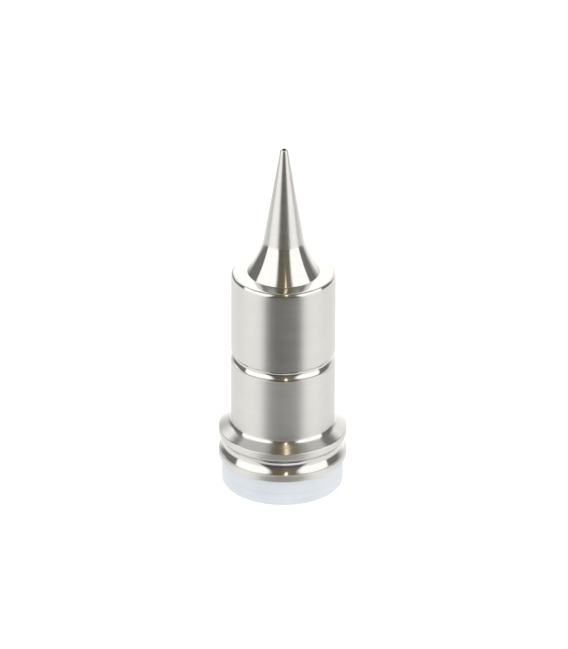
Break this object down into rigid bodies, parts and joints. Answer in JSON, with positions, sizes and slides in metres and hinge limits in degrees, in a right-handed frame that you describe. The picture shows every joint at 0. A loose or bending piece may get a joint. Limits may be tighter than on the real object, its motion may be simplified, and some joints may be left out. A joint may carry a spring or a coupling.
{
  "type": "airbrush nozzle",
  "caption": "Push-in airbrush fluid nozzle: slim cone tip on a hollow-curved flare, guide cylinder with a marking groove, coned flange and push-on seal ring.",
  "frame": {"origin": "centre of the seal ring's rear face, on the nozzle's axis", "axes": "+Z along the axis from the seal ring to the spray tip; round about Z, so X and Y are free"},
  "size_m": [0.0056, 0.0056, 0.016],
  "materials": {
    "nickel_silver": "fine turned and satin on the cylinders and the slim cone, polished on the flare, shoulder and grooves",
    "seal_ptfe": "smooth and waxy, milky white"
  },
  "bodies": {
    "nozzle": {"nozzle_body": "nickel_silver"},
    "seal": {"seal_ring": "seal_ptfe"}
  },
  "joints": [
    {"name": "seal_pull", "type": "slide", "parent": "seal", "child": "nozzle", "axis": [0, 0, 1], "range_m": [0, 0.003]}
  ]
}
